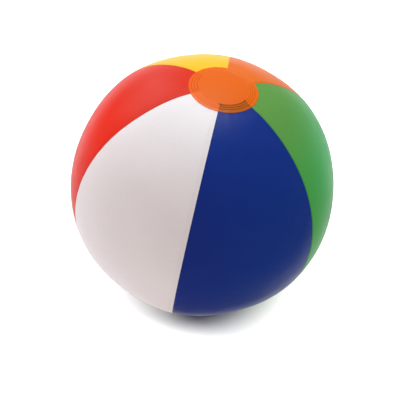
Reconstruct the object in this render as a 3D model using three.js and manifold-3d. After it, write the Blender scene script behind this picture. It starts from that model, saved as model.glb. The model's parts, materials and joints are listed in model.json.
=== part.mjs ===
// An inflated beach ball: six coloured gores of PVC film, an end disc over each pole, and a push-in
// valve with a check flap and a tethered stopper. A gore is a panel that runs from pole to pole.
// Millimetres, +Z up along the ball's polar axis. The origin is the middle of the lower end disc's
// flat underside, which the ball stands on.

import * as THREE from 'three';
import { mergeVertices } from 'three/addons/utils/BufferGeometryUtils.js';
import Module from 'manifold-3d';

// --- Ball ---
const BALL_RADIUS = 140; // mean radius of the inflated ball
const OBLATENESS = 0.0162; // how much shorter than wide the ball is, as a share of its radius
const POLE_FLATNESS = 0.0059; // how much its shoulders stand out beside the flat poles
const GORE_FLATNESS = 0.0061; // how far a gore's middle lies inside its seams, as a share
const CENTRE_HEIGHT = 135; // the ball's centre above the ground, with the lower pole pressed flat

// --- Film ---
const FILM = 0.35; // thickness of the film
const GAP = 0.3; // clearance between two welded layers
const LAYER = FILM + GAP; // step from one layer of film to the next
const SEAM_LAP = 4; // how far a gore's first edge is tucked under the gore before it
const JOGGLE = 0.8; // width of the step from the tucked strip up to the ball's surface
const GORE_ROWS = 22; // facets along a gore

// --- End discs ---
const DISC_RADIUS = 35.7;
const GORE_END_RADIUS = 25.7; // the gores stop here, under the disc
const WELD_RIDGES = [27.4, 29.8, 32.2]; // radii of the rings that the welding tool leaves
const RIDGE_WIDTH = 1.2;
const RIDGE_HEIGHT = 0.35;
const DISC_SEGMENTS = 36;

// --- Valve, on an axis of its own: 0 is the film's outer face, and positive heights are outside ---
const VALVE_AZIMUTH = 121;
const VALVE_LATITUDE = -15;
const VALVE_HOLE_RADIUS = 8; // hole in the film
const FLANGE_RADIUS = 14;
const FLANGE_TOP = -1; // height of the flange's outer face on the valve's axis
const FLANGE_THICKNESS = 0.8;
const STEM_RADIUS = 5;
const STEM_BORE_RADIUS = 3.4;
const STEM_TOP = 0.6;
const STEM_LENGTH = 12;
const COLLAR_RADIUS = 6; // rim around the stem's mouth
const COLLAR_THICKNESS = 1.2;
const DIAPHRAGM_THICKNESS = 0.5;
const DIAPHRAGM_TOP = -1.1; // height of its outer edge, at the flange
const DIAPHRAGM_FOOT = -7; // height of its inner edge, at the stem
const STOPPER_HEAD_RADIUS = 5.5;
const STOPPER_HEAD_THICKNESS = 1.4;
const STOPPER_PIN_RADIUS = 3;
const STOPPER_PIN_LENGTH = 7.4;
const STOPPER_TAPER = 0.8; // chamfer at the pin's tip and round the head
const STRAP_WIDTH = 3;
const STRAP_THICKNESS = 0.6;
const STRAP_REACH = 11; // the loop's furthest point from the valve's axis
const STRAP_LOWER_HEIGHT = 0.4; // mid-height of the leg that joins the collar
const STRAP_UPPER_HEIGHT = 1.9; // mid-height of the leg that joins the stopper's head
const FLAP_RADIUS = 4.2;
const FLAP_THICKNESS = 0.6;
const VALVE_SEGMENTS = 24;

// Gores in their order round the ball, anticlockwise from above. Each begins at its own seam, in
// degrees from +X, and ends at the next one's. The steps are the facets across it: the gore with the
// valve has more, so that its film stays clear of the flange.
const GORES = [
  { name: 'gore_blue', seam: -90, steps: 5, colour: 0x18327d },
  { name: 'gore_green', seam: -29, steps: 5, colour: 0x5a9e4c },
  { name: 'gore_orange', seam: 37.4, steps: 5, colour: 0xee7b3a },
  { name: 'gore_yellow', seam: 91.9, steps: 12, colour: 0xfcd152, hasValve: true },
  { name: 'gore_red', seam: 149.8, steps: 5, colour: 0xe62d1e },
  { name: 'gore_white', seam: 209.8, steps: 5, colour: 0xf0ecec },
];
const DISC_COLOUR = 0xed722c;
const VALVE_COLOUR = 0xe9e6df;

const radians = THREE.MathUtils.degToRad;
const lerp = THREE.MathUtils.lerp;
const wasm = await Module();
wasm.setup();

// --- Shape of the ball ---

// Distance from the ball's centre to the gores' outer face, at a polar angle measured from +Z and at
// a share of the way across a gore.
function ballRadius(polar, share) {
  const c = Math.cos(polar);
  const p2 = (3 * c ** 2 - 1) / 2;
  const p4 = (35 * c ** 4 - 30 * c ** 2 + 3) / 8;
  const meridian = 1 - OBLATENESS * p2 - POLE_FLATNESS * p4;
  const ripple = 1 + GORE_FLATNESS * Math.cos(2 * Math.PI * share) * Math.sin(polar) ** 2;
  return BALL_RADIUS * meridian * ripple;
}

// Height of a point on a meridian. The ground presses the lower pole flat, at this lowest height.
function pressedHeight(distance, polar, lowest) {
  return Math.max(CENTRE_HEIGHT + distance * Math.cos(polar), lowest);
}

// A point this deep inside the gores' outer face. Deeper layers lie on those below them at the pole.
function ballPoint(polar, azimuth, share, depth) {
  const distance = ballRadius(polar, share) - depth;
  const ring = distance * Math.sin(polar);
  const height = pressedHeight(distance, polar, depth + LAYER);
  return new THREE.Vector3(ring * Math.cos(azimuth), ring * Math.sin(azimuth), height);
}

// Polar angle at which the ball's surface, along a seam, is this far from the polar axis.
function polarAngleAt(ring) {
  let polar = Math.asin(ring / BALL_RADIUS);
  for (let pass = 0; pass < 5; pass++) {
    polar = Math.asin(ring / ballRadius(polar, 0));
  }
  return polar;
}

// --- Helpers ---

// A closed shell over a grid of points. pointAt(row, column, inner) gives the outer or inner face.
function shellGeometry(rows, columns, pointAt) {
  const positions = [];
  for (const inner of [false, true]) {
    for (let row = 0; row < rows; row++) {
      for (let column = 0; column < columns; column++) {
        positions.push(...pointAt(row, column, inner).toArray());
      }
    }
  }
  const outer = (row, column) => row * columns + column;
  const under = (index) => rows * columns + index;
  const triangles = [];
  const quad = (a, b, c, d) => triangles.push(a, b, c, a, c, d);
  for (let row = 0; row < rows - 1; row++) {
    for (let column = 0; column < columns - 1; column++) {
      const [a, b] = [outer(row, column), outer(row + 1, column)];
      const [c, d] = [b + 1, a + 1];
      quad(a, b, c, d);
      quad(under(a), under(d), under(c), under(b));
    }
  }
  const across = [...Array(columns - 1).keys()];
  const along = [...Array(rows - 1).keys()];
  const rim = [
    ...across.map((column) => outer(0, column)),
    ...along.map((row) => outer(row, columns - 1)),
    ...across.map((column) => outer(rows - 1, columns - 1 - column)),
    ...along.map((row) => outer(rows - 1 - row, 0)),
  ];
  rim.forEach((here, k) => {
    const next = rim[(k + 1) % rim.length];
    quad(here, next, under(next), under(here));
  });
  const geometry = new THREE.BufferGeometry();
  geometry.setAttribute('position', new THREE.Float32BufferAttribute(positions, 3));
  geometry.setIndex(triangles);
  return geometry;
}

// A turned solid about +Z. The profile is [radius, height] pairs, anticlockwise with the axis on its
// left, and it starts and ends on the axis or is a ring that closes on itself.
function turned(profile, segments) {
  const points = profile.map(([radius, height]) => new THREE.Vector2(radius, height));
  return new THREE.LatheGeometry(points, segments).rotateX(Math.PI / 2);
}

const ring = (profile) => turned([...profile, profile[0]], VALVE_SEGMENTS);

function toManifold(geometry) {
  const bare = geometry.clone();
  bare.deleteAttribute('normal');
  bare.deleteAttribute('uv');
  const merged = mergeVertices(bare);
  const triVerts = new Uint32Array(merged.index.array);
  const vertProperties = new Float32Array(merged.attributes.position.array);
  return new wasm.Manifold(new wasm.Mesh({ numProp: 3, vertProperties, triVerts }));
}

function fromManifold(solid) {
  const { vertProperties, triVerts } = solid.getMesh();
  const geometry = new THREE.BufferGeometry();
  geometry.setAttribute('position', new THREE.BufferAttribute(vertProperties, 3));
  geometry.setIndex(new THREE.BufferAttribute(triVerts, 1));
  return geometry;
}

function addPart(parent, name, geometry, colour, roughness) {
  const material = new THREE.MeshStandardMaterial({ color: colour, roughness, metalness: 0 });
  const mesh = new THREE.Mesh(geometry, material);
  mesh.name = name;
  parent.add(mesh);
}

// --- Valve ---

// The group's X runs level round the ball, its Y towards the upper pole and its Z straight out.
const valve = new THREE.Group();
valve.rotation.set(radians(90 - VALVE_LATITUDE), 0, radians(90 + VALVE_AZIMUTH), 'ZYX');
valve.position.copy(ballPoint(radians(90 - VALVE_LATITUDE), radians(VALVE_AZIMUTH), 0.5, 0));

// The flange follows the film's curve, just under it.
function flangeGeometry() {
  const top = (radius) => FLANGE_TOP - radius ** 2 / (2 * BALL_RADIUS);
  const radii = [VALVE_HOLE_RADIUS, (VALVE_HOLE_RADIUS + FLANGE_RADIUS) / 2, FLANGE_RADIUS];
  const underside = radii.map((radius) => [radius, top(radius) - FLANGE_THICKNESS]);
  const outside = radii.map((radius) => [radius, top(radius)]).reverse();
  return ring([...underside, ...outside]);
}

// A cone of thin film between the flange and the stem. Pulling the stem out turns it inside out.
function diaphragmGeometry() {
  const outerRadius = VALVE_HOLE_RADIUS - GAP;
  const innerRadius = STEM_RADIUS + GAP;
  return ring([
    [innerRadius, DIAPHRAGM_FOOT],
    [innerRadius + DIAPHRAGM_THICKNESS, DIAPHRAGM_FOOT],
    [outerRadius, DIAPHRAGM_TOP - DIAPHRAGM_THICKNESS],
    [outerRadius, DIAPHRAGM_TOP],
    [outerRadius - DIAPHRAGM_THICKNESS, DIAPHRAGM_TOP],
    [innerRadius, DIAPHRAGM_FOOT + DIAPHRAGM_THICKNESS],
  ]);
}

function stemGeometry() {
  return ring([
    [STEM_BORE_RADIUS, STEM_TOP - STEM_LENGTH],
    [STEM_RADIUS, STEM_TOP - STEM_LENGTH],
    [STEM_RADIUS, STEM_TOP - COLLAR_THICKNESS],
    [COLLAR_RADIUS, STEM_TOP - COLLAR_THICKNESS],
    [COLLAR_RADIUS, STEM_TOP],
    [STEM_BORE_RADIUS, STEM_TOP],
  ]);
}

function stopperGeometry() {
  const seat = STEM_TOP + GAP;
  const tip = seat - STOPPER_PIN_LENGTH;
  const crown = seat + STOPPER_HEAD_THICKNESS;
  const profile = [
    [0, tip],
    [STOPPER_PIN_RADIUS - STOPPER_TAPER, tip],
    [STOPPER_PIN_RADIUS, tip + STOPPER_TAPER],
    [STOPPER_PIN_RADIUS, seat],
    [STOPPER_HEAD_RADIUS, seat],
    [STOPPER_HEAD_RADIUS, crown - STOPPER_TAPER / 2],
    [STOPPER_HEAD_RADIUS - STOPPER_TAPER, crown],
    [0, crown],
  ];
  return turned(profile, VALVE_SEGMENTS);
}

// A flat band that leaves the collar, folds back over itself and ends at the stopper's head.
function strapGeometry() {
  const middle = (STRAP_LOWER_HEIGHT + STRAP_UPPER_HEIGHT) / 2;
  const outerBend = (STRAP_UPPER_HEIGHT - STRAP_LOWER_HEIGHT + STRAP_THICKNESS) / 2;
  const innerBend = outerBend - STRAP_THICKNESS;
  const bendAt = STRAP_REACH - outerBend;
  const quarter = Math.PI / 2;
  const outline = new THREE.Shape();
  outline.moveTo(COLLAR_RADIUS + GAP, middle - outerBend);
  outline.lineTo(bendAt, middle - outerBend);
  outline.absarc(bendAt, middle, outerBend, -quarter, quarter, false);
  outline.lineTo(STOPPER_HEAD_RADIUS + GAP, middle + outerBend);
  outline.lineTo(STOPPER_HEAD_RADIUS + GAP, middle + innerBend);
  outline.lineTo(bendAt, middle + innerBend);
  outline.absarc(bendAt, middle, innerBend, quarter, -quarter, true);
  outline.lineTo(COLLAR_RADIUS + GAP, middle - innerBend);
  outline.closePath();
  const band = { depth: STRAP_WIDTH, bevelEnabled: false, curveSegments: 8 };
  const geometry = new THREE.ExtrudeGeometry(outline, band);
  return geometry.translate(0, 0, -STRAP_WIDTH / 2).rotateX(Math.PI / 2);
}

// A disc over the stem's inner end, with a tab out to its hinge line.
function flapGeometry() {
  const outline = new THREE.Shape();
  const tabHalf = FLAP_RADIUS / 2;
  const tabAngle = Math.asin(tabHalf / FLAP_RADIUS);
  outline.absarc(0, 0, FLAP_RADIUS, tabAngle, 2 * Math.PI - tabAngle, false);
  outline.lineTo(STEM_RADIUS, -tabHalf);
  outline.lineTo(STEM_RADIUS, tabHalf);
  outline.closePath();
  const sheet = { depth: FLAP_THICKNESS, bevelEnabled: false, curveSegments: VALVE_SEGMENTS };
  const geometry = new THREE.ExtrudeGeometry(outline, sheet);
  return geometry.translate(0, 0, STEM_TOP - STEM_LENGTH - GAP - FLAP_THICKNESS);
}

addPart(valve, 'valve_flange', flangeGeometry(), VALVE_COLOUR, 0.4);
addPart(valve, 'valve_diaphragm', diaphragmGeometry(), VALVE_COLOUR, 0.4);
addPart(valve, 'valve_stem', stemGeometry(), VALVE_COLOUR, 0.4);
addPart(valve, 'stopper', stopperGeometry(), VALVE_COLOUR, 0.4);
addPart(valve, 'stopper_strap', strapGeometry(), VALVE_COLOUR, 0.4);
addPart(valve, 'check_flap', flapGeometry(), VALVE_COLOUR, 0.4);

// --- Gores ---

// The film of one gore. Its first edge is a strip tucked under the gore before it, and its last edge
// covers the strip of the gore after it.
function goreGeometry(start, end, steps) {
  const endPolar = polarAngleAt(GORE_END_RADIUS);
  const columns = steps + 4;
  const azimuthAt = (polar, column) => {
    const ringRadius = ballRadius(polar, 0) * Math.sin(polar);
    const lap = SEAM_LAP / ringRadius;
    if (column === 0) return start - lap;
    if (column === 1) return start;
    if (column === columns - 1) return end - GAP / ringRadius;
    return lerp(start + JOGGLE / ringRadius, end - lap, (column - 2) / steps);
  };
  return shellGeometry(GORE_ROWS + 1, columns, (row, column, inner) => {
    const polar = lerp(endPolar, Math.PI - endPolar, row / GORE_ROWS);
    const azimuth = azimuthAt(polar, column);
    const depth = (column < 2 ? LAYER : 0) + (inner ? FILM : 0);
    return ballPoint(polar, azimuth, (azimuth - start) / (end - start), depth);
  });
}

// The same film with the hole that the valve's stem passes through.
function withValveHole(gore) {
  const length = VALVE_HOLE_RADIUS; // long enough to pass through the film on both sides
  const cutter = new THREE.CylinderGeometry(VALVE_HOLE_RADIUS, VALVE_HOLE_RADIUS, length, VALVE_SEGMENTS);
  cutter.rotateX(Math.PI / 2);
  valve.updateMatrix();
  cutter.applyMatrix4(valve.matrix);
  return fromManifold(toManifold(gore).subtract(toManifold(cutter)));
}

// --- End discs ---

// The disc's faces, from the axis to the rim, as [radius, height]. It lies one layer above the gores.
function discFace(side, depth, ridges) {
  const stops = [0, GORE_END_RADIUS / 3, (2 * GORE_END_RADIUS) / 3, GORE_END_RADIUS];
  const stations = stops.map((radius) => ({ radius, lift: 0 }));
  for (const radius of ridges) {
    stations.push({ radius: radius - RIDGE_WIDTH / 2, lift: 0 });
    stations.push({ radius, lift: RIDGE_HEIGHT });
    stations.push({ radius: radius + RIDGE_WIDTH / 2, lift: 0 });
  }
  stations.push({ radius: DISC_RADIUS, lift: 0 });
  return stations.map(({ radius, lift }) => {
    const angle = polarAngleAt(radius);
    const polar = side > 0 ? angle : Math.PI - angle;
    const distance = ballRadius(polar, 0) + LAYER + lift - depth;
    return [radius, pressedHeight(distance, polar, depth)];
  });
}

function discGeometry(side) {
  const outer = discFace(side, 0, WELD_RIDGES);
  const inner = discFace(side, FILM, []);
  const profile = side > 0 ? [...inner, ...outer.reverse()] : [...outer, ...inner.reverse()];
  return turned(profile, DISC_SEGMENTS);
}

// --- Assembly ---

const ball = new THREE.Group();
GORES.forEach((gore, k) => {
  const start = radians(gore.seam);
  const end = k + 1 < GORES.length ? radians(GORES[k + 1].seam) : radians(GORES[0].seam) + 2 * Math.PI;
  const film = goreGeometry(start, end, gore.steps);
  addPart(ball, gore.name, gore.hasValve ? withValveHole(film) : film, gore.colour, 0.35);
});
addPart(ball, 'end_disc_top', discGeometry(1), DISC_COLOUR, 0.35);
addPart(ball, 'end_disc_bottom', discGeometry(-1), DISC_COLOUR, 0.35);
ball.add(valve);

export default ball;
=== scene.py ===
"""Looks of the inflated beach ball: fine film panels, welded seams, end discs and valve."""

import json
import math

import bpy
import numpy as np
from mathutils import Matrix, Vector


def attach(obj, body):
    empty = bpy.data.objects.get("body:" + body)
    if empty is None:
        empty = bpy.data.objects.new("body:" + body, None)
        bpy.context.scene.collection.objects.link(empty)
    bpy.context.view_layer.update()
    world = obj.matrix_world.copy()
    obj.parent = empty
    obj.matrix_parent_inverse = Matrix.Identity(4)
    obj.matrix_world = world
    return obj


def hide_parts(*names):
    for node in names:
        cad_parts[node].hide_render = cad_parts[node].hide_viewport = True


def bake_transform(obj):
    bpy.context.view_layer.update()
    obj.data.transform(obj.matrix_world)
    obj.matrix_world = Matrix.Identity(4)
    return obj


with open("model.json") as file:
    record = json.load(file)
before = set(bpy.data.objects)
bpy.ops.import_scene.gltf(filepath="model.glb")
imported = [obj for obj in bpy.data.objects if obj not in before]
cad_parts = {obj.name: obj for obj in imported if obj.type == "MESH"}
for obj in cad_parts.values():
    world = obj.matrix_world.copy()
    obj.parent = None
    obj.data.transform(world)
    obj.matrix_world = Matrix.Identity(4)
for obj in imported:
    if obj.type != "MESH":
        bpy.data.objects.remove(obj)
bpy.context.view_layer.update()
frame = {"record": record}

# Lengths here are in millimetres, and a mesh is scaled to metres when it is made.
MM = 0.001
SHARP_ANGLE = 40  # degrees between faces from which their edge stays sharp
FILLET_STEPS = 4  # steps round a rounded corner
BEVEL = 0.12  # on the edges of extruded pieces

# --- The ball's shape, as in the CAD model ---
RADIUS = 140.0
OBLATENESS = 0.0162
POLE_FLATNESS = 0.0059
GORE_FLATNESS = 0.0061
CENTRE_HEIGHT = 135.0
DISC_RADIUS = 35.7
GORE_END_RADIUS = 25.7

# --- Film and seams ---
FILM = 0.3  # thickness of a panel
LAYER = 0.38  # step from one layer of film to the next
LAP = 4.0  # width of the welded strip
WELD_FADE = 0.4  # width of the welded strip's border
JOGGLE = 1.3  # the tucked film comes up to the surface over this width
LAP_LINE_AT = LAP + 0.25  # a shallow groove runs beside the welded strip, this far from the seam
LAP_LINE_WIDTH = 0.38
LAP_LINE_DEPTH = 0.05
CUT_EDGE_WIDTH = 0.3  # the film's cut edge is rounded down over this width
CUT_EDGE_DROP = 0.1
CREASE_AT = 0.35  # the fold where the tucked film comes up, from the seam
CREASE_WIDTH = 0.6
ROWS = 132  # rows of faces along a gore, without the extra ones beside the valve
ROW_CLEARANCE = 0.006  # least polar angle between a plain row and the fine ones beside the valve
MIDDLE_COLUMNS = 34
# Distances of a gore's outer columns from its first seam and from its second.
FIRST_COLUMNS = [-LAP, -2.0, -0.6, 0.0, 0.3, 0.6, 0.9, 1.3, 1.9, 2.8, 4.2, 6.0, 8.4]
LAST_COLUMNS = [-8.4, -6.5, -5.4, -4.9, -4.5, -4.2, -3.9, -3.5, -3.0, -2.2, -1.4, -0.7, -0.25, 0.0]

# Gores anticlockwise from above: the angle of the first seam, then sRGB colours: by the upper disc,
# and lower down beside the first seam and beside the second. These are the gores' dye with painted
# light: the changes between them paint the glow let through from the other gores and the lighting's
# tint towards the ball's sides.
GORES = [
    ("blue", -90.0, (0.03, 0.19, 0.55), (0.055, 0.17, 0.53), (0.0, 0.2, 0.55)),
    ("green", -29.0, (0.37, 0.625, 0.28), (0.28, 0.675, 0.29), (0.2, 0.73, 0.4)),
    ("orange", 37.4, (0.88, 0.42, 0.0), (0.89, 0.43, 0.04), (0.89, 0.43, 0.04)),
    ("yellow", 91.9, (0.96, 0.755, 0.08), (0.97, 0.765, 0.17), (0.97, 0.75, 0.15)),
    ("red", 149.8, (0.85, 0.16, 0.05), (0.88, 0.135, 0.02), (0.94, 0.15, 0.03)),
    ("white", 209.8, (0.925, 0.92, 0.93), (0.95, 0.925, 0.93), (0.93, 0.9, 0.895)),
]
# The end disc in sRGB, and how it looks where it covers each gore.
DISC_ORANGE = (0.865, 0.39, 0.0)
DISC_OVER = {
    "blue": (0.62, 0.34, 0.1),
    "green": (0.87, 0.41, 0.06),
    "orange": (0.89, 0.43, 0.08),
    "yellow": (0.9, 0.42, 0.06),
    "red": (0.88, 0.37, 0.08),
    "white": (0.93, 0.46, 0.22),
}
CAP_FADE = (0.4, 1.1)  # polar angles between which the colours by the disc give way to the others
DISC_CLOUD = 0.93  # brightness of the disc's darker clouds
DISC_GROOVE_SHADE_AND_SEAM_MARK = (0.5, 0.4, 0.35, 1.0)  # painted shade in the grooves, and the marks at the seams' ends
VINYL = (0.9, 0.9, 0.87)
VINYL_CLOUD = 0.9
# What clouds, grain, welds and the painted shade in creases and grooves take from a gore's colour, at most.
CLOUD_LOSS = 0.07
GRAIN_LOSS = 0.025
WELD_LOSS = 0.025
CREASE_SHADE_LOSS = 0.2
# The film's relief: noise lumps to a metre, height in metres and strength.
WAVINESS = (34, 0.0009, 0.35)
GRAIN = (1500, 0.00005, 0.5)
VINYL_GRAIN = (700, 0.00012, 0.5)
# Roughness from the smoothest to the roughest places, specular level, and share of light let through.
PANEL_ROUGHNESS = (0.33, 0.41)
PANEL_SPECULAR = 0.2
PANEL_TRANSLUCENT = 0.16
DISC_ROUGHNESS = (0.37, 0.43)
DISC_PRESSED = 0.22  # the weld has pressed the disc's edge smoother by this
DISC_SPECULAR = 0.14
DISC_TRANSLUCENT = 0.14
VINYL_ROUGHNESS = (0.28, 0.4)
VINYL_SPECULAR = 0.45
VINYL_TRANSLUCENT = 0.3

# --- Unevenness of the film ---
SEAM_WAVES = [(11.3, 0.9), (17.9, 1.7), (31.7, 2.3)]  # length, and step of phase from seam to seam
SEAM_WAVE_HEIGHT = 0.045
SEAM_WAVE_REACH = 7.0  # the waves die away over this distance from the seam
SEAM_WAVE_START = 8.0  # and they come in over this distance from the end disc
SEAM_SWELL = (47.0, 2.1)  # they grow and shrink along it: length over 2 pi, and step of phase
POLE_WAVES = [(19, 0.7, 1.0), (31, 2.9, 0.8), (47, 0.0, 0.5)]  # number round the disc, phase, share
POLE_WAVE_HEIGHT = 0.1
POLE_WAVE_REACH = (3.5, 13.0)  # the waves die away over these distances, on the disc and outside it
POLE_DIP = 0.55  # depth of the dip at the disc's edge
POLE_DIP_WIDTH = 8.0
SLOW_WAVE_HEIGHT = 0.13
CALM_RADIUS = 18.0  # the film is even up to this distance from the valve's axis
CALM_FADE = 20.0  # and the unevenness comes in over this distance
# Places where the film is a little slack: polar angle, azimuth, width and depth of the dent.
DENTS = [
    (0.70, 3.42, 22.0, 1.5),
    (1.35, 2.9, 40.0, 1.0),
    (0.75, 5.5, 26.0, 0.5),
    (0.9, 0.1, 30.0, 0.9),
]

# --- End discs ---
WELD_GROOVES = [27.0, 29.6, 32.2]  # radii of the grooves that the welding tool leaves in a disc
GROOVE_WIDTH = 0.62
GROOVE_DEPTH = 0.34
DISC_SEGMENTS = 192
DISC_MIDDLE_LEVEL = 0.35  # height of the disc's middle, as a share of its height over the gores
DISC_THINNEST = 0.08  # thickness that is left in the grooves
DISC_EDGE_ROUNDING = (0.35, 0.2)  # width and depth
SEAM_MARK = (2.0, 1.1, 0.9)  # dark spot where a seam ends under the disc: width, place and length

# --- Valve, in its own frame: heights are measured outwards from the film's outer face ---
HOLE_RADIUS = 8.0
FLANGE_RADIUS = 14.0
STEM_RADIUS = 5.0
STEM_BORE = 3.35
STEM_TOP = 0.6
STEM_LENGTH = 12.0
COLLAR_RADIUS = 6.0
COLLAR_THICKNESS = 1.2
FLANGE_THICKNESS = 0.8
FLANGE_SHOULDER = 11.0  # the flange follows the ball's curve from its edge in to this radius
FLANGE_LIP = (7.1, 7.85)  # inner and outer radius of the lip that lines the hole
FLANGE_LIP_TOP = 0.12
FLANGE_LIP_FOOT = -1.9
FLANGE_PROUD = 0.22  # the film over the flange stands this much proud of the ball
FLANGE_EDGE = (FLANGE_RADIUS - 0.4, 1.6)  # it comes down from this radius on, over this width
FLANGE_WELDS = [10.05, 11.55, 13.05]  # radii of the weld grooves in the film over the flange
FLANGE_WELD_WIDTH = 0.42
FLANGE_WELD_DEPTH = 0.2
HOLE_EDGE_WIDTH = 0.4  # the film is turned in at the hole's edge
HOLE_EDGE_DROP = 0.25
DIAPHRAGM_TOP = -1.0
DIAPHRAGM_FOOT = -7.0
DIAPHRAGM_RADIUS = 7.05
DIAPHRAGM_FOOT_RADIUS = 5.1
DIAPHRAGM_THICKNESS = 0.42
STOPPER_SEAT = STEM_TOP + 0.15  # underside of the stopper's head
PIN_RADIUS = 3.05
PIN_LENGTH = 7.2
HEAD_RADIUS = 5.5
HEAD_THICKNESS = 1.5
GRIP_LEVELS = (0.35, 1.05)  # underside and top of the grip tab above the seat
STRAP_REACH = 11.0
STRAP_LOWER_HEIGHT = 0.4  # mid-height of the leg that joins the collar
STRAP_UPPER_HEIGHT = 1.75  # mid-height of the leg that joins the stopper's head
STRAP_THICKNESS = 0.6
STRAP_WIDTH = 3.0
FLAP_RADIUS = 4.2
FLAP_THICKNESS = 0.6
FLAP_GAP = 0.3  # between the stem's foot and the flap
HINGE_LINE = Vector((STEM_RADIUS, 0.0, STEM_TOP - STEM_LENGTH - FLAP_GAP))  # of the flap
HINGE_FILM = (0.35, 0.22)  # the film hinge runs from this far inside the stem's wall to this far outside
HINGE_WIDTH = 3.4
HINGE_HEIGHTS = [-9.8, -10.6, -11.2, -11.35, -11.45, -11.55, -11.65, -11.8, -12.2]
# Radii of the grid's rings about the valve.
VALVE_RINGS = [HOLE_RADIUS, *np.arange(8.3, 14.4, 0.5).round(1), 15.0, 16.0, 17.5, 19.5, 22.0]
VALVE_SIDE_COLUMNS = 8  # columns on each side of the valve's block, up to those by the seams
HOLE_STEPS = 12  # faces along each quarter of the hole's edge
ROUND_TO_SQUARE = (15.0, 22.0)  # round grid lines about the valve become straight between these radii


# ---------------------------------------------------------------- shape of the ball


def ball_radius(polar, share):
    """Distance of the film's outer face from the ball's centre."""
    c = np.cos(polar)
    p2 = (3 * c**2 - 1) / 2
    p4 = (35 * c**4 - 30 * c**2 + 3) / 8
    meridian = 1 - OBLATENESS * p2 - POLE_FLATNESS * p4
    ripple = 1 + GORE_FLATNESS * np.cos(2 * np.pi * share) * np.sin(polar) ** 2
    return RADIUS * meridian * ripple


def polar_angle_at(ring):
    """Polar angle at which the surface is this far from the polar axis."""
    polar = np.arcsin(ring / RADIUS)
    for _ in range(6):  # each round brings it much closer
        polar = np.arcsin(ring / ball_radius(polar, 0.0))
    return polar


def smooth_step(t):
    t = np.clip(t, 0, 1)
    return t * t * (3 - 2 * t)


def bump_at(distance, width):
    """1 at distance 0, falling to nothing about twice width away."""
    return np.exp(-((distance / width) ** 2))


def seam_pucker(seam, along, distance):
    """Small ripples that run across a seam and die away beside it."""
    waves = sum(np.sin(2 * np.pi * along / length + phase * (seam + 1)) for length, phase in SEAM_WAVES)
    swell = 0.6 + 0.4 * np.sin(along / SEAM_SWELL[0] + SEAM_SWELL[1] * seam)
    return SEAM_WAVE_HEIGHT * waves * swell * np.exp(-np.abs(distance) / SEAM_WAVE_REACH)


def slack_places(polar, azimuth):
    """Broad shallow dents where the film is a little slack."""
    total = 0.0
    for at_polar, at_azimuth, width, depth in DENTS:
        along = (polar - at_polar) * RADIUS
        across = np.angle(np.exp(1j * (azimuth - at_azimuth))) * np.sin(polar) * RADIUS
        total = total - depth * np.exp(-(along**2 + across**2) / width**2)
    return total


def pole_pucker(ring, azimuth):
    """Radial puckers round the end disc, and the dip that its weld leaves."""
    outside = np.clip(ring - DISC_RADIUS, 0, None)
    inside = np.clip(DISC_RADIUS - ring, 0, None)
    fade = np.exp(-inside / POLE_WAVE_REACH[0]) * np.exp(-outside / POLE_WAVE_REACH[1])
    waves = sum(share * np.sin(number * azimuth + phase) for number, phase, share in POLE_WAVES)
    swell = 0.65 + 0.35 * np.sin(3 * azimuth + 1.1)
    dip = POLE_DIP * bump_at(ring - DISC_RADIUS, POLE_DIP_WIDTH)
    return POLE_WAVE_HEIGHT * waves * swell * fade - dip


def unevenness(polar, azimuth):
    """Shallow waves and dents that keep the ball from being perfectly regular, except by the valve."""
    slow = np.sin(3 * azimuth + 1.3) * np.sin(4 * polar) + np.sin(5 * azimuth + 0.4) * np.sin(7 * polar + 1)
    from_valve = RADIUS * np.hypot(polar - VALVE_POLAR, (azimuth - VALVE_AZIMUTH) * np.sin(polar))
    waves = SLOW_WAVE_HEIGHT * slow * np.sin(polar) ** 2 + slack_places(polar, azimuth)
    return waves * smooth_step((from_valve - CALM_RADIUS) / CALM_FADE)


def ball_point(polar, azimuth, share, lift):
    """Points of the film, lifted outwards from its outer face. The ground presses the pole flat."""
    radius = ball_radius(polar, share)
    pucker = pole_pucker(radius * np.sin(polar), azimuth)
    distance = radius + lift + pucker + unevenness(polar, azimuth)
    x = distance * np.sin(polar) * np.cos(azimuth)
    y = distance * np.sin(polar) * np.sin(azimuth)
    z = np.maximum(CENTRE_HEIGHT + distance * np.cos(polar), LAYER + FILM - lift)
    return np.stack([x, y, z], axis=-1)


# ---------------------------------------------------------------- mesh helpers


def mesh_object(name, points, faces, attributes=None):
    """An object from points in millimetres. attributes holds a value per point for each name."""
    mesh = bpy.data.meshes.new(name)
    mesh.from_pydata((np.asarray(points) * MM).tolist(), [], faces)
    for key, values in (attributes or {}).items():
        layer = mesh.attributes.new(key, "FLOAT", "POINT")
        layer.data.foreach_set("value", np.asarray(values, np.float32).ravel())
    mesh.shade_smooth()
    mesh.set_sharp_from_angle(angle=math.radians(SHARP_ANGLE))
    mesh.validate()
    obj = bpy.data.objects.new(name, mesh)
    bpy.context.scene.collection.objects.link(obj)
    return obj


def shell(name, outer, inner, attributes, keep=None):
    """A closed sheet between two grids of points. keep marks the faces to make, all by default."""
    rows, columns = outer.shape[:2]
    if keep is None:
        keep = np.ones((rows - 1, columns - 1), bool)
    index = np.arange(rows * columns).reshape(rows, columns)
    under = rows * columns
    faces = []
    edges = {}  # a dictionary, because it keeps their order
    for r, c in zip(*np.nonzero(keep)):
        corners = [index[r, c], index[r + 1, c], index[r + 1, c + 1], index[r, c + 1]]
        corners = [int(k) for k in corners]
        faces.append(corners)
        faces.append([k + under for k in reversed(corners)])
        for a, b in zip(corners, corners[1:] + corners[:1]):
            edges[(a, b)] = True
    for a, b in edges:
        if (b, a) not in edges:
            faces.append([b, a, a + under, b + under])
    points = np.concatenate([outer.reshape(-1, 3), inner.reshape(-1, 3)])
    used = sorted({k for face in faces for k in face})
    place = {k: i for i, k in enumerate(used)}
    faces = [[place[k] for k in face] for face in faces]
    both = {key: np.concatenate([v.ravel(), v.ravel()])[used] for key, v in attributes.items()}
    return mesh_object(name, points[used], faces, both)


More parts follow.
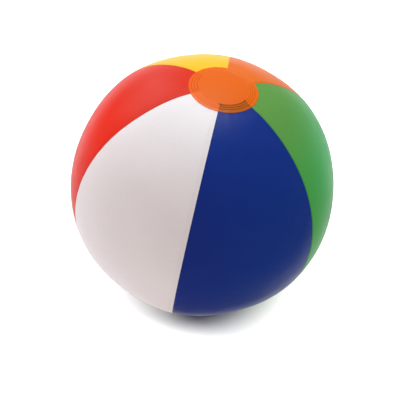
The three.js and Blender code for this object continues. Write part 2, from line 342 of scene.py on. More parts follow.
def fillet(corners):
    """An outline from (x, y, radius) corners, with each corner that has a radius rounded."""
    outline = []
    count = len(corners)
    for k, (x, y, radius) in enumerate(corners):
        here = Vector((x, y))
        if radius == 0:
            outline.append((x, y))
            continue
        before = (Vector(corners[k - 1][:2]) - here).normalized()
        after = (Vector(corners[(k + 1) % count][:2]) - here).normalized()
        half = before.angle(after) / 2
        centre = here + (before + after).normalized() * (radius / math.sin(half))
        start = here + before * (radius / math.tan(half)) - centre
        turn = start.angle_signed(here + after * (radius / math.tan(half)) - centre)
        for step in range(FILLET_STEPS + 1):
            angle = -turn * step / FILLET_STEPS
            cos, sin = math.cos(angle), math.sin(angle)
            x = centre.x + start.x * cos - start.y * sin
            y = centre.y + start.x * sin + start.y * cos
            outline.append((x, y))
    return outline


def turned(name, profile, place, segments=64):
    """A solid turned about its own Z. A profile that starts and ends on the axis is open there."""
    on_axis = [abs(radius) < 1e-6 for radius, _ in profile]
    angles = np.linspace(0, 2 * np.pi, segments, endpoint=False)
    points = []
    rings = []
    for (radius, height), axial in zip(profile, on_axis):
        first = len(points)
        if axial:
            points.append((0, 0, height))
            rings.append([first] * segments)
        else:
            points.extend((radius * math.cos(a), radius * math.sin(a), height) for a in angles)
            rings.append(list(range(first, first + segments)))
    closed = not on_axis[0]
    faces = []
    for k in range(len(rings) if closed else len(rings) - 1):
        low, high = rings[k], rings[(k + 1) % len(rings)]
        for s in range(segments):
            t = (s + 1) % segments
            face = [low[s], low[t], high[t], high[s]]
            face = [v for i, v in enumerate(face) if v not in face[:i]]
            if len(face) > 2:
                faces.append(face)
    placed = [tuple(place @ Vector(p)) for p in points]
    return mesh_object(name, placed, faces)


def extruded(name, outline, low, high, place, axis="z"):
    """A flat outline pushed along Z or, with axis "y", along Y, with a small bevel at both faces."""
    centre = np.mean(outline, axis=0)
    span = np.abs(np.asarray(outline) - centre).max()
    inset = [tuple(centre + (np.asarray(p) - centre) * (1 - BEVEL / span)) for p in outline]
    layers = [(inset, low), (outline, low + BEVEL), (outline, high - BEVEL), (inset, high)]
    count = len(outline)
    points = [(x, y, z) for ring, z in layers for x, y in ring]
    if axis == "y":
        points = [(x, -z, y) for x, y, z in points]
    faces = [list(range(count))[::-1], [3 * count + k for k in range(count)]]
    for layer in range(3):
        for k in range(count):
            a, b = layer * count + k, layer * count + (k + 1) % count
            faces.append([a, b, b + count, a + count])
    placed = [tuple(place @ Vector(p)) for p in points]
    return mesh_object(name, placed, faces)


# ---------------------------------------------------------------- materials


def linear(colour):
    """An sRGB colour as linear RGBA."""
    light = [c / 12.92 if c <= 0.04045 else ((c + 0.055) / 1.055) ** 2.4 for c in colour]
    return (*light, 1.0)


class Nodes:
    """A new material and short ways to add nodes to it."""

    def __init__(self, name):
        self.material = bpy.data.materials.new(name)
        self.material.use_nodes = True
        self.tree = self.material.node_tree
        self.tree.nodes.clear()
        self.output = self.add("OutputMaterial")
        self.place = self.add("TexCoord").outputs["Object"]

    def add(self, kind, **settings):
        node = self.tree.nodes.new("ShaderNode" + kind)
        for key, value in settings.items():
            setattr(node, key, value)
        return node

    def set(self, socket, value):
        if isinstance(value, bpy.types.NodeSocket):
            self.tree.links.new(value, socket)
        else:
            socket.default_value = value

    def math(self, operation, a, b):
        node = self.add("Math", operation=operation)
        self.set(node.inputs[0], a)
        self.set(node.inputs[1], b)
        return node.outputs[0]

    def mix(self, share, a, b, blend="MIX"):
        node = self.add("Mix", data_type="RGBA", blend_type=blend)
        self.set(node.inputs["Factor"], share)
        self.set(node.inputs[6], a)
        self.set(node.inputs[7], b)
        return node.outputs[2]

    def noise(self, scale, detail):
        """Noise with this many lumps to a metre."""
        node = self.add("TexNoise")
        self.set(node.inputs["Vector"], self.place)
        self.set(node.inputs["Scale"], scale)
        self.set(node.inputs["Detail"], detail)
        return node.outputs["Fac"]

    def spread(self, value, low, high):
        """Noise as a number between low and high. Most of it lies between 0.3 and 0.7."""
        node = self.add("MapRange")
        self.set(node.inputs["Value"], value)
        self.set(node.inputs["From Min"], 0.3)
        self.set(node.inputs["From Max"], 0.7)
        self.set(node.inputs["To Min"], low)
        self.set(node.inputs["To Max"], high)
        return node.outputs["Result"]

    def attribute(self, name):
        return self.add("Attribute", attribute_name=name).outputs["Fac"]

    def bump(self, height, distance, strength, normal=None):
        node = self.add("Bump")
        self.set(node.inputs["Height"], height)
        self.set(node.inputs["Distance"], distance)
        self.set(node.inputs["Strength"], strength)
        if normal is not None:
            self.set(node.inputs["Normal"], normal)
        return node.outputs["Normal"]

    def film(self, colour, roughness, normal, translucent, specular):
        """Glossy film that lets some light through."""
        glossy = self.add("BsdfPrincipled")
        self.set(glossy.inputs["Base Color"], colour)
        self.set(glossy.inputs["Roughness"], roughness)
        self.set(glossy.inputs["Specular IOR Level"], specular)
        self.set(glossy.inputs["Normal"], normal)
        lit = self.add("BsdfTranslucent")
        self.set(lit.inputs["Color"], colour)
        self.set(lit.inputs["Normal"], normal)
        mix = self.add("MixShader")
        self.set(mix.inputs[0], translucent)
        self.set(mix.inputs[1], glossy.outputs[0])
        self.set(mix.inputs[2], lit.outputs[0])
        self.set(self.output.inputs["Surface"], mix.outputs[0])
        return self.material


def film_bump(nodes):
    """The film's fine grain over a slow waviness that breaks up its reflections."""
    slow = nodes.bump(nodes.noise(WAVINESS[0], 2.0), *WAVINESS[1:])
    return nodes.bump(nodes.noise(GRAIN[0], 3.0), *GRAIN[1:], slow)


def darker(colour, share):
    """A linear RGBA colour with this share of its brightness."""
    return (*(share * c for c in colour[:3]), 1.0)


def panel_material(name, by_disc, by_first_seam, by_second_seam):
    """Film of one gore: clouded, grainy, darker in its welds, with painted shade in its creases."""
    nodes = Nodes(name)
    # The changes between a gore's colours are painted light: glow let through from other gores, and
    # lighting.
    lower = nodes.mix(nodes.attribute("across"), linear(by_first_seam), linear(by_second_seam))
    base = nodes.mix(nodes.attribute("low"), linear(by_disc), lower)
    cloud = nodes.spread(nodes.noise(9, 3.0), 0.0, CLOUD_LOSS)
    grain = nodes.spread(nodes.noise(420, 2.0), 0.0, GRAIN_LOSS)
    weld = nodes.math("MULTIPLY", nodes.attribute("weld"), WELD_LOSS)
    # painted shade in the creases and grooves
    crease_shade = nodes.math("MULTIPLY", nodes.attribute("crease_shade"), CREASE_SHADE_LOSS)
    loss = nodes.math("ADD", nodes.math("ADD", cloud, grain), nodes.math("ADD", weld, crease_shade))
    shade = nodes.mix(loss, base, (0.0, 0.0, 0.0, 1.0))
    roughness = nodes.spread(nodes.noise(60, 3.0), *PANEL_ROUGHNESS)
    return nodes.film(shade, roughness, film_bump(nodes), PANEL_TRANSLUCENT, PANEL_SPECULAR)


def disc_material():
    """Orange film tinted by the gore ends welded under its edge, with painted shade in its grooves."""
    nodes = Nodes("disc_film")
    base = linear(DISC_ORANGE)
    where = nodes.add("SeparateXYZ")
    nodes.set(where.inputs[0], nodes.place)
    angle = nodes.math("ARCTAN2", where.outputs["Y"], where.outputs["X"])
    turn = nodes.math("ADD", nodes.math("DIVIDE", angle, 2 * math.pi), 0.5)
    # A colour for each gore. The one that spans the end of the turn comes at its start as well.
    ramp = nodes.add("ValToRGB")
    ramp.color_ramp.interpolation = "CONSTANT"
    stops = sorted((((seam + 180) / 360) % 1.0, linear(DISC_OVER[name])) for name, seam, *_ in GORES)
    stops.insert(0, (0.0, stops[-1][1]))
    elements = ramp.color_ramp.elements
    for k, (position, colour) in enumerate(stops):
        element = elements[k] if k < 2 else elements.new(position)
        element.position = position
        element.color = colour
    nodes.set(ramp.inputs[0], turn)
    clear = nodes.mix(nodes.spread(nodes.noise(14, 2.0), 0.0, 0.5), base, darker(base, DISC_CLOUD))
    tinted = nodes.mix(nodes.attribute("show"), clear, ramp.outputs[0])
    # painted shade in the grooves, and the marks at the seams' ends
    groove_shade_and_seam_mark = nodes.mix(1.0, tinted, DISC_GROOVE_SHADE_AND_SEAM_MARK, "MULTIPLY")
    shade = nodes.mix(nodes.attribute("groove_shade_and_seam_mark"), tinted, groove_shade_and_seam_mark)
    uneven = nodes.spread(nodes.noise(70, 2.0), *DISC_ROUGHNESS)
    pressed = nodes.math("MULTIPLY", nodes.attribute("show"), DISC_PRESSED)
    roughness = nodes.math("SUBTRACT", uneven, pressed)
    return nodes.film(shade, roughness, film_bump(nodes), DISC_TRANSLUCENT, DISC_SPECULAR)


def vinyl_material():
    """Soft milky vinyl of the valve's pieces."""
    nodes = Nodes("valve_vinyl")
    base = linear(VINYL)
    milky = nodes.mix(nodes.spread(nodes.noise(160, 3.0), 0.0, 1.0), base, darker(base, VINYL_CLOUD))
    roughness = nodes.spread(nodes.noise(240, 2.0), *VINYL_ROUGHNESS)
    normal = nodes.bump(nodes.noise(VINYL_GRAIN[0], 3.0), *VINYL_GRAIN[1:])
    return nodes.film(milky, roughness, normal, VINYL_TRANSLUCENT, VINYL_SPECULAR)


def assign(obj, material):
    obj.data.materials.clear()
    obj.data.materials.append(material)


# ---------------------------------------------------------------- valve frame

joints = {joint["name"]: joint for joint in frame["record"]["behaviour"]["joints"]}
outward = Vector(joints["valve_slide"]["axis"]).normalized()
upward = -Vector(joints["flap_swing"]["axis"]).normalized()
level = upward.cross(outward)
axes = Matrix((level, upward, outward)).transposed()
valve_origin = Vector(joints["flap_swing"]["pos_m"]) / MM - axes @ HINGE_LINE
valve_place = Matrix.Translation(valve_origin) @ axes.to_4x4()
valve_offset = valve_origin - Vector((0, 0, CENTRE_HEIGHT))
VALVE_POLAR = math.acos(valve_offset.z / valve_offset.length)
VALVE_AZIMUTH = math.atan2(valve_offset.y, valve_offset.x)


# ---------------------------------------------------------------- gores


def about_valve():
    """Distances from the valve's axis at which the gore with the valve has grid lines."""
    inner = np.linspace(-HOLE_RADIUS, HOLE_RADIUS, HOLE_STEPS + 1)[1:-1]
    rings = np.array(VALVE_RINGS)
    return np.concatenate([-rings[::-1], inner, rings])


def polar_rows():
    """Polar angles of the rows of every gore, closer together beside the valve."""
    end = polar_angle_at(GORE_END_RADIUS)
    plain = np.linspace(end, math.pi - end, ROWS + 1)
    fine = VALVE_POLAR + about_valve() / RADIUS
    outside = (plain < fine[0] - ROW_CLEARANCE) | (plain > fine[-1] + ROW_CLEARANCE)
    return np.sort(np.concatenate([plain[outside], fine]))


def gore_azimuths(polar, start, end, has_valve):
    """Azimuth of each grid point. Columns near a seam keep their distance from it."""
    ring = (ball_radius(polar, 0.0) * np.sin(polar))[:, None]
    from_start = start + np.array(FIRST_COLUMNS)[None] / ring
    from_end = end + np.array(LAST_COLUMNS)[None] / ring
    low, high = from_start[:, -1:], from_end[:, :1]
    if has_valve:
        block = VALVE_AZIMUTH + about_valve()[None] / (RADIUS * math.sin(VALVE_POLAR)) + 0 * ring
        share = np.linspace(0, 1, VALVE_SIDE_COLUMNS + 1)[None, 1:-1]
        left = low + (block[:, :1] - low) * share
        right = block[:, -1:] + (high - block[:, -1:]) * share
        middle = np.concatenate([left, block, right], axis=1)
    else:
        share = np.linspace(0, 1, MIDDLE_COLUMNS + 1)[None, 1:-1]
        middle = low + (high - low) * share
    return np.concatenate([from_start, middle, from_end], axis=1)


def round_off(polar, azimuth):
    """Bends the straight grid lines beside the valve into circles about its axis.

    The third result is each point's distance from that axis, for points on the circles.
    """
    across = (azimuth - VALVE_AZIMUTH) * RADIUS * math.sin(VALVE_POLAR)
    along = (polar - VALVE_POLAR) * RADIUS
    square = np.maximum(np.abs(across), np.abs(along))
    length = np.maximum(np.hypot(across, along), 1e-9)
    inner, outer = ROUND_TO_SQUARE
    straight = smooth_step((square - inner) / (outer - inner))
    factor = (square / length) * (1 - straight) + straight
    new_azimuth = VALVE_AZIMUTH + across * factor / (RADIUS * math.sin(VALVE_POLAR))
    new_polar = VALVE_POLAR + along * factor / RADIUS
    near = square < outer
    return np.where(near, new_polar, polar), np.where(near, new_azimuth, azimuth), square


def valve_relief(distance):
    """The film over the flange stands a little proud, with three ring-shaped weld grooves."""
    edge, fade = FLANGE_EDGE
    proud = FLANGE_PROUD * (1 - smooth_step((distance - edge) / fade))
    rings = sum(bump_at(distance - radius, FLANGE_WELD_WIDTH) for radius in FLANGE_WELDS)
    turned_in = HOLE_EDGE_DROP * bump_at(distance - HOLE_RADIUS, HOLE_EDGE_WIDTH)
    return proud - FLANGE_WELD_DEPTH * rings - turned_in, rings


def make_gore(number, name, seam, *colours):
    """A sheet of film from disc to disc, with its first edge tucked under the gore before it."""
    start = math.radians(seam)
    following = GORES[(number + 1) % len(GORES)][1]
    end = math.radians(following + (360 if number == len(GORES) - 1 else 0))
    has_valve = start < VALVE_AZIMUTH < end
    rows = polar_rows()
    azimuth = gore_azimuths(rows, start, end, has_valve)
    polar = np.repeat(rows[:, None], azimuth.shape[1], axis=1)
    keep = None
    relief, rings = 0.0, 0.0
    if has_valve:
        polar, azimuth, square = round_off(polar, azimuth)
        corners = [square[:-1, :-1], square[1:, :-1], square[:-1, 1:], square[1:, 1:]]
        keep = np.max(corners, axis=0) > HOLE_RADIUS + 0.01
        relief, rings = valve_relief(square)
    ring = ball_radius(polar, 0.0) * np.sin(polar)
    along = polar * RADIUS
    past_start = (azimuth - start) * ring
    before_end = (end - azimuth) * ring
    tucked = 1 - smooth_step(past_start / JOGGLE)
    line = bump_at(before_end - LAP_LINE_AT, LAP_LINE_WIDTH)
    cut_edge = CUT_EDGE_DROP * smooth_step(1 - before_end / CUT_EDGE_WIDTH)
    lift = -LAYER * tucked - LAP_LINE_DEPTH * line - cut_edge + relief
    ripples = seam_pucker(number, along, past_start)
    ripples = ripples + seam_pucker((number + 1) % len(GORES), along, before_end)
    lift = lift + ripples * smooth_step((ring - DISC_RADIUS) / SEAM_WAVE_START)
    share = (azimuth - start) / (end - start)
    outer = ball_point(polar, azimuth, share, lift)
    inner = ball_point(polar, azimuth, share, lift - FILM)
    weld = smooth_step((LAP - before_end) / WELD_FADE)
    # Painted shade darkens the fold, but not the hidden film behind it, and the grooves to a lesser degree.
    fold_shade = bump_at(past_start - CREASE_AT, CREASE_WIDTH) * (past_start > -0.5)
    crease_shade = np.maximum(0.25 * line, fold_shade)
    attributes = {
        "weld": weld,
        "crease_shade": np.maximum(crease_shade, 0.8 * rings + 0 * weld),
        # across and low place the painted light between a gore's colours.
        "across": 1 - (1 - np.clip(share, 0, 1)) ** 2,
        "low": smooth_step((polar - CAP_FADE[0]) / (CAP_FADE[1] - CAP_FADE[0])),
    }
    obj = shell(f"{name}_panel", outer, inner, attributes, keep)
    assign(obj, panel_material(f"{name}_film", *colours))
    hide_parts(f"gore_{name}")
    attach(obj, "ball")


# ---------------------------------------------------------------- end discs


def disc_rings():
    """Radii of the rings of a disc's grid, closest together over the weld."""
    smooth = np.linspace(0.6, 24.6, 17)
    weld = np.arange(25.0, 34.9, 0.22)
    edge = np.array([35.0, 35.3, 35.5, 35.62, DISC_RADIUS])
    return np.concatenate([smooth, weld, edge])


def disc_faces(rings, segments):
    """Faces of a sheet with a middle point and rings of points on top, and the same again below."""
    below = 1 + rings * segments
    faces = []
    for s in range(segments):
        t = (s + 1) % segments
        faces.append([0, 1 + s, 1 + t])
        faces.append([below, below + 1 + t, below + 1 + s])
        for k in range(rings - 1):
            a, b = 1 + k * segments + s, 1 + k * segments + t
            faces.append([a, a + segments, b + segments, b])
            faces.append([a + below, b + below, b + segments + below, a + segments + below])
        a, b = 1 + (rings - 1) * segments + s, 1 + (rings - 1) * segments + t
        faces.append([a, a + below, b + below, b])
    return faces


def make_disc(name, side):
    """The disc at the upper pole, for side 1, or at the lower pole, for side -1."""
    radii = disc_rings()
    angles = np.linspace(0, 2 * np.pi, DISC_SEGMENTS, endpoint=False)
    ring, azimuth = np.meshgrid(radii, angles, indexing="ij")
    polar = polar_angle_at(ring)
    polar = polar if side > 0 else math.pi - polar
    groove = sum(bump_at(ring - radius, GROOVE_WIDTH) for radius in WELD_GROOVES)
    on_gores = smooth_step((ring - GORE_END_RADIUS + 0.3) / 0.6)
    edge_width, edge_depth = DISC_EDGE_ROUNDING
    rounded = edge_depth * smooth_step((ring - DISC_RADIUS + edge_width) / edge_width)
    level = LAYER * (DISC_MIDDLE_LEVEL + (1 - DISC_MIDDLE_LEVEL) * on_gores)
    top = level - GROOVE_DEPTH * groove * on_gores - rounded
    bottom = np.minimum(level - FILM, top - DISC_THINNEST)
    outer = ball_point(polar, azimuth, 0.0, top)
    inner = ball_point(polar, azimuth, 0.0, bottom)
    pole = np.array(0.0 if side > 0 else math.pi)
    pole_outer = ball_point(pole, np.array(0.0), 0.0, float(top[0, 0]))
    pole_inner = ball_point(pole, np.array(0.0), 0.0, float(bottom[0, 0]))
    if side < 0:  # the lower disc's outer face lies on the ground
        outer[..., 2] = np.maximum(outer[..., 2] - FILM, 0.0)
        pole_outer = pole_outer * np.array([1, 1, 0])
    points = [pole_outer, *outer.reshape(-1, 3), pole_inner, *inner.reshape(-1, 3)]
    faces = disc_faces(len(radii), DISC_SEGMENTS)
    if side < 0:
        faces = [face[::-1] for face in faces]
    lip = smooth_step((ring - WELD_GROOVES[-1] - 0.5) / 0.8)
    # The film is thinnest in the grooves, where the gore below shows most.
    show = on_gores * (0.6 + 0.4 * groove + 0.1 * lip)
    # Painted shade darkens the weld grooves.
    groove_shade_and_seam_mark = 0.25 * groove * on_gores
    mark_width, mark_at, mark_length = SEAM_MARK
    at_gore_ends = bump_at(ring - GORE_END_RADIUS - mark_at, mark_length)
    for _, seam, *_ in GORES[:2]:  # the two seams of the blue gore, which show most
        aside = np.abs(np.angle(np.exp(1j * (azimuth - math.radians(seam))))) * ring
        groove_shade_and_seam_mark = np.maximum(groove_shade_and_seam_mark, bump_at(aside, mark_width) * at_gore_ends)
    layers = {"show": show, "groove_shade_and_seam_mark": groove_shade_and_seam_mark}
    attributes = {k: np.concatenate([[0.0], v.ravel(), [0.0], v.ravel()]) for k, v in layers.items()}
    obj = mesh_object(f"{name}_film", points, faces, attributes)
    assign(obj, disc_film)
    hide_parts(name)
    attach(obj, "ball")


# ---------------------------------------------------------------- valve pieces


def finish_valve_piece(obj, node):
    """Gives a piece the vinyl's look and lets it stand for its CAD node."""
    assign(obj, vinyl)
    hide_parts(node)
    return obj


def make_flange():
    """A ring welded under the film, with a lip that lines the hole."""

    def under(radius):
        """Height just below the film's inner face, which falls away with the ball's curve."""
        return -FILM - 0.12 - radius**2 / (2 * RADIUS)

    lip_inner, lip_outer = FLANGE_LIP
    corners = [
        (lip_inner, FLANGE_LIP_FOOT, 0.2),
        (FLANGE_RADIUS, under(FLANGE_RADIUS) - FLANGE_THICKNESS, 0.3),
        (FLANGE_RADIUS, under(FLANGE_RADIUS), 0.2),
        (FLANGE_SHOULDER, under(FLANGE_SHOULDER), 0),
        (lip_outer, under(lip_outer), 0),
        (lip_outer, FLANGE_LIP_TOP, 0.2),
        (lip_inner, FLANGE_LIP_TOP, 0.25),
    ]
    obj = turned("valve_flange_ring", fillet(corners), valve_place)
    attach(finish_valve_piece(obj, "valve_flange"), "ball")


def make_diaphragm():
    """Thin film from the flange to the stem, fixed in place; the real one turns inside out as the stem is
    pulled.
    """
    steps = np.linspace(0, 1, 15)
    radii = DIAPHRAGM_RADIUS + (DIAPHRAGM_FOOT_RADIUS - DIAPHRAGM_RADIUS) * smooth_step(steps)
    heights = DIAPHRAGM_TOP + (DIAPHRAGM_FOOT - DIAPHRAGM_TOP) * steps
    thickness = DIAPHRAGM_THICKNESS
    outer = list(zip(radii, heights))
    inner = [(max(r - thickness, STEM_RADIUS + 0.02), h + thickness) for r, h in outer]
    inner[0] = (outer[0][0] - thickness, outer[0][1])
    obj = turned("valve_diaphragm_cone", outer[::-1] + inner, valve_place)
    finish_valve_piece(obj, "valve_diaphragm")
    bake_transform(obj)


def make_stem():
    """The blow tube with a collar round its mouth."""
    foot = STEM_TOP - STEM_LENGTH
    corners = [
        (STEM_BORE, foot, 0.25),
        (STEM_RADIUS, foot, 0.35),
        (STEM_RADIUS, STEM_TOP - COLLAR_THICKNESS - 0.1, 0.25),
        (COLLAR_RADIUS, STEM_TOP - COLLAR_THICKNESS, 0.3),
        (COLLAR_RADIUS, STEM_TOP, 0.4),
        (STEM_BORE, STEM_TOP, 0.3),
    ]
    obj = turned("valve_stem_tube", fillet(corners), valve_place)
    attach(finish_valve_piece(obj, "valve_stem"), "stem")


def make_stopper():
    """A pin with a bead near its tip, under a head with a shallow dish, and a tab to pull it by."""
    seat = STOPPER_SEAT
    tip = seat - PIN_LENGTH
    crown = seat + HEAD_THICKNESS
    plug = [
        (0, tip, 0),
        (PIN_RADIUS - 0.9, tip, 0.3),
        (PIN_RADIUS - 0.1, tip + 1.1, 0.2),
        (PIN_RADIUS - 0.1, tip + 2.2, 0.2),
        (PIN_RADIUS + 0.12, tip + 2.7, 0.2),
        (PIN_RADIUS - 0.1, tip + 3.3, 0.2),
        (PIN_RADIUS, seat, 0),
        (HEAD_RADIUS, seat, 0.3),
        (HEAD_RADIUS, crown - 0.1, 0.55),
        (3.4, crown + 0.1, 0.3),
        (3.0, crown - 0.25, 0.15),
        (1.0, crown - 0.25, 0),
        (0, crown - 0.3, 0),
    ]
    obj = turned("stopper_plug", fillet(plug), valve_place)
    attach(finish_valve_piece(obj, "stopper"), "stopper")
    tab = [(-5.1, -1.7, 0), (-5.1, 1.7, 0), (-7.4, 1.5, 0.8), (-7.9, 0.0, 0.6), (-7.4, -1.5, 0.8)]
    low, high = GRIP_LEVELS
    grip = extruded("stopper_grip", fillet(tab), seat + low, seat + high, valve_place)
    assign(grip, vinyl)
    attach(grip, "stopper")


def make_strap():
    """A soft band that folds back over itself from the collar to the stopper's head."""
    low, high, half = STRAP_LOWER_HEIGHT, STRAP_UPPER_HEIGHT, STRAP_THICKNESS / 2
    middle = (low + high) / 2
    outer_bend = (high - low) / 2 + half
    inner_bend = outer_bend - 2 * half
    bend_at = STRAP_REACH - outer_bend
    sweep = np.linspace(-math.pi / 2, math.pi / 2, 13)
    outer = [(bend_at + outer_bend * math.cos(a), middle + outer_bend * math.sin(a)) for a in sweep]
    inner = [(bend_at + inner_bend * math.cos(a), middle + inner_bend * math.sin(a)) for a in sweep[::-1]]
    root = COLLAR_RADIUS - 0.05
    tip = HEAD_RADIUS - 0.05
    outline = [(root, low - half), *outer, (tip, high + half)]
    outline += [(tip, high - half), *inner, (root, low + half)]
    side = STRAP_WIDTH / 2
    obj = extruded("stopper_strap_band", outline, -side, side, valve_place, axis="y")
    finish_valve_piece(obj, "stopper_strap")
    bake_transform(obj)


def make_flap():
    """A disc that closes the stem's foot, and the film hinge that holds it to the stem's side."""
    sweep = np.linspace(math.pi / 6, 2 * math.pi - math.pi / 6, 37)
    outline = [(FLAP_RADIUS * math.cos(a), FLAP_RADIUS * math.sin(a)) for a in sweep]
    half = FLAP_RADIUS / 2
    outline += [(HINGE_LINE.x, -half), (HINGE_LINE.x, half)]
    top = HINGE_LINE.z
    obj = extruded("check_flap_disc", outline, top - FLAP_THICKNESS, top, valve_place)
    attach(finish_valve_piece(obj, "check_flap"), "flap")
    inner, outer = STEM_RADIUS - HINGE_FILM[0], STEM_RADIUS + HINGE_FILM[1]
    band = [(inner, height) for height in HINGE_HEIGHTS]
    band += [(outer, height) for height in HINGE_HEIGHTS[::-1]]
    side = HINGE_WIDTH / 2
    hinge = extruded("check_flap_hinge", band, -side, side, valve_place, axis="y")
    assign(hinge, vinyl)
    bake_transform(hinge)


# ---------------------------------------------------------------- stage, light and camera

BALL_CENTRE = Vector((0, 0, CENTRE_HEIGHT)) * MM
CAMERA_AZIMUTH = 1.2
CAMERA_ELEVATION = 42.7
CAMERA_ROLL = 12.45  # the ball's upper pole leans this far to the right in the view
CAMERA_DISTANCE = 9.78 * RADIUS * MM
LENS = 115.0  # focal length
SENSOR_WIDTH = 36.0
OFF_CENTRE = Vector((0.0021, -0.0121))  # slope of the aim to the left of the ball's centre, and upwards

# This section's distances and sizes are in metres, apart from FLOOR_REACH.
# Lights on the ball: direction, power and size.
BALL_LIGHTS = {
    "top_light": ((-0.15, 0.34, 0.89), 11.0, 0.9),
    "side_light": ((-0.64, 0.6, 0.47), 3.4, 0.7),
}
# Lights on the floor alone. It is dark only where the ball hides both.
FLOOR_LIGHTS = {
    "left_floor_light": (-0.78, -0.26, 0.85),
    "right_floor_light": (0.23, -0.27, 0.87),
}
FLOOR_LIGHT_POWER = 16.5
FLOOR_LIGHT_ANGLE = 34.0
LIGHT_DISTANCE = 1.5
FLOOR_REACH = 8000.0
FLOOR_GREY = (0.25, 0.25, 0.25, 1.0)
FLOOR_ROUGHNESS = 0.9
FLOOR_SPECULAR = 0.1

# The surroundings as they light the ball, as it mirrors them and as the camera sees them: the
# direction of a gradient, the strengths away from it and towards it, the cosines between which the
# one gives way to the other, the colour and the kind of ray.
WORLD_LIGHT = [
    ((-0.15, 0.58, -0.8), (0.75, 1.75), (-0.7, 0.7), (1.0, 0.95, 0.95), None),
    ((-0.1, 0.69, -0.72), (0.0, 1.4), (0.28, 0.9), (1.0, 1.0, 1.0), "Is Glossy Ray"),
    ((0.0, 0.0, 1.0), (1.2, 1.2), (0.0, 1.0), (1.0, 1.0, 1.0), "Is Camera Ray"),
]
# Dim places in what the ball mirrors, its own shadow and a gap beside the side light: the direction,
# the share of the light that is left, and the cosines between which the place fades in.
DIM_PLACES = [((0.15, 0.05, -0.99), 0.2, 0.89, 0.966), ((-0.77, 0.63, -0.02), 0.0, 0.93, 0.985)]


def make_camera():
    """A camera above the ball's front, rolled so that the ball leans to the right in its view."""
    azimuth, elevation = math.radians(CAMERA_AZIMUTH), math.radians(CAMERA_ELEVATION)
    back = Vector((
        math.sin(azimuth) * math.cos(elevation),
        -math.cos(azimuth) * math.cos(elevation),
        math.sin(elevation),
    ))
    looking = (-back).to_track_quat("-Z", "Y").to_matrix()
    rolled = looking @ Matrix.Rotation(math.radians(CAMERA_ROLL), 3, "Z")
    right, up = rolled.col[0], rolled.col[1]
    aim = -back - right * OFF_CENTRE.x + up * OFF_CENTRE.y
    data = bpy.data.cameras.new("camera")
    data.lens = LENS
    data.sensor_width = SENSOR_WIDTH
    camera = bpy.data.objects.new("camera", data)
    bpy.context.scene.collection.objects.link(camera)
    turn = (-back).rotation_difference(aim.normalized())
    camera.location = BALL_CENTRE + back * CAMERA_DISTANCE
    camera.rotation_mode = "QUATERNION"
    camera.rotation_quaternion = turn @ rolled.to_quaternion()
    bpy.context.scene.camera = camera


def add_light(name, kind, direction, power):
    """A light that shines on the ball from this direction."""
    data = bpy.data.lights.new(name, kind)
    data.energy = power
    light = bpy.data.objects.new(name, data)
    bpy.context.scene.collection.objects.link(light)
    away = Vector(direction).normalized()
    light.location = BALL_CENTRE + away * LIGHT_DISTANCE
    light.rotation_mode = "QUATERNION"
    light.rotation_quaternion = away.to_track_quat("Z", "Y")
    return light


def make_lights(floor):
    """Soft lights on the ball, and low ones that light nothing but the floor."""
    for name, (direction, power, size) in BALL_LIGHTS.items():
        light = add_light(name, "AREA", direction, power)
        light.data.size = size
    only_floor = bpy.data.collections.new("only_floor")
    only_floor.objects.link(floor)
    for name, direction in FLOOR_LIGHTS.items():
        light = add_light(name, "SUN", direction, FLOOR_LIGHT_POWER)
        light.data.angle = math.radians(FLOOR_LIGHT_ANGLE)
        light.light_linking.receiver_collection = only_floor


def make_floor():
    """Pale paper. The ball neither mirrors it nor gets light from it: the surroundings do both."""
    far = FLOOR_REACH
    corners = [(-far, -far, 0), (far, -far, 0), (far, far, 0), (-far, far, 0)]
    floor = mesh_object("floor", corners, [[0, 1, 2, 3]])
    nodes = Nodes("floor_paper")
    paper = nodes.add("BsdfPrincipled")
    nodes.set(paper.inputs["Base Color"], FLOOR_GREY)
    nodes.set(paper.inputs["Roughness"], FLOOR_ROUGHNESS)
    nodes.set(paper.inputs["Specular IOR Level"], FLOOR_SPECULAR)
    nodes.set(nodes.output.inputs["Surface"], paper.outputs[0])
    assign(floor, nodes.material)
    floor.visible_glossy = False
    floor.visible_diffuse = False
    return floor


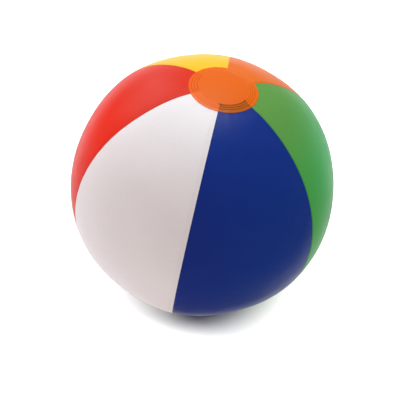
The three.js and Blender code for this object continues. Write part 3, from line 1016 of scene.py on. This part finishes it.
def make_world():
    """White surroundings, as WORLD_LIGHT and DIM_PLACES say."""
    world = bpy.data.worlds.new("studio")
    bpy.context.scene.world = world
    world.use_nodes = True
    tree = world.node_tree
    tree.nodes.clear()
    rays = tree.nodes.new("ShaderNodeLightPath")
    direction = tree.nodes.new("ShaderNodeTexCoord")

    def gradient(towards, low, high, start, end):
        """From low to high as the cosine of the angle from a direction goes from start to end."""
        cosine = tree.nodes.new("ShaderNodeVectorMath")
        cosine.operation = "DOT_PRODUCT"
        cosine.inputs[1].default_value = towards
        tree.links.new(direction.outputs["Generated"], cosine.inputs[0])
        share = tree.nodes.new("ShaderNodeMapRange")
        share.inputs["From Min"].default_value = start
        share.inputs["From Max"].default_value = end
        share.inputs["To Min"].default_value = low
        share.inputs["To Max"].default_value = high
        tree.links.new(cosine.outputs["Value"], share.inputs["Value"])
        return share.outputs["Result"]

    shader = None
    for towards, (dark, bright), (start, end), colour, ray in WORLD_LIGHT:
        strength = gradient(towards, dark, bright, start, end)
        if ray == "Is Glossy Ray":
            for place, left, begin, full in DIM_PLACES:
                product = tree.nodes.new("ShaderNodeMath")
                product.operation = "MULTIPLY"
                tree.links.new(strength, product.inputs[0])
                tree.links.new(gradient(place, 1.0, left, begin, full), product.inputs[1])
                strength = product.outputs[0]
        background = tree.nodes.new("ShaderNodeBackground")
        tree.links.new(strength, background.inputs["Strength"])
        background.inputs["Color"].default_value = (*colour, 1)
        if shader is None:
            shader = background
            continue
        mix = tree.nodes.new("ShaderNodeMixShader")
        tree.links.new(rays.outputs[ray], mix.inputs[0])
        tree.links.new(shader.outputs[0], mix.inputs[1])
        tree.links.new(background.outputs[0], mix.inputs[2])
        shader = mix
    output = tree.nodes.new("ShaderNodeOutputWorld")
    tree.links.new(shader.outputs[0], output.inputs["Surface"])


# ---------------------------------------------------------------- build

bpy.context.scene.view_settings.view_transform = "Standard"
make_camera()
make_world()
make_lights(make_floor())

disc_film = disc_material()
vinyl = vinyl_material()
for gore_number, gore in enumerate(GORES):
    make_gore(gore_number, *gore)
make_disc("end_disc_top", 1)
make_disc("end_disc_bottom", -1)
make_flange()
make_diaphragm()
make_stem()
make_stopper()
make_strap()
make_flap()

bpy.context.view_layer.update()
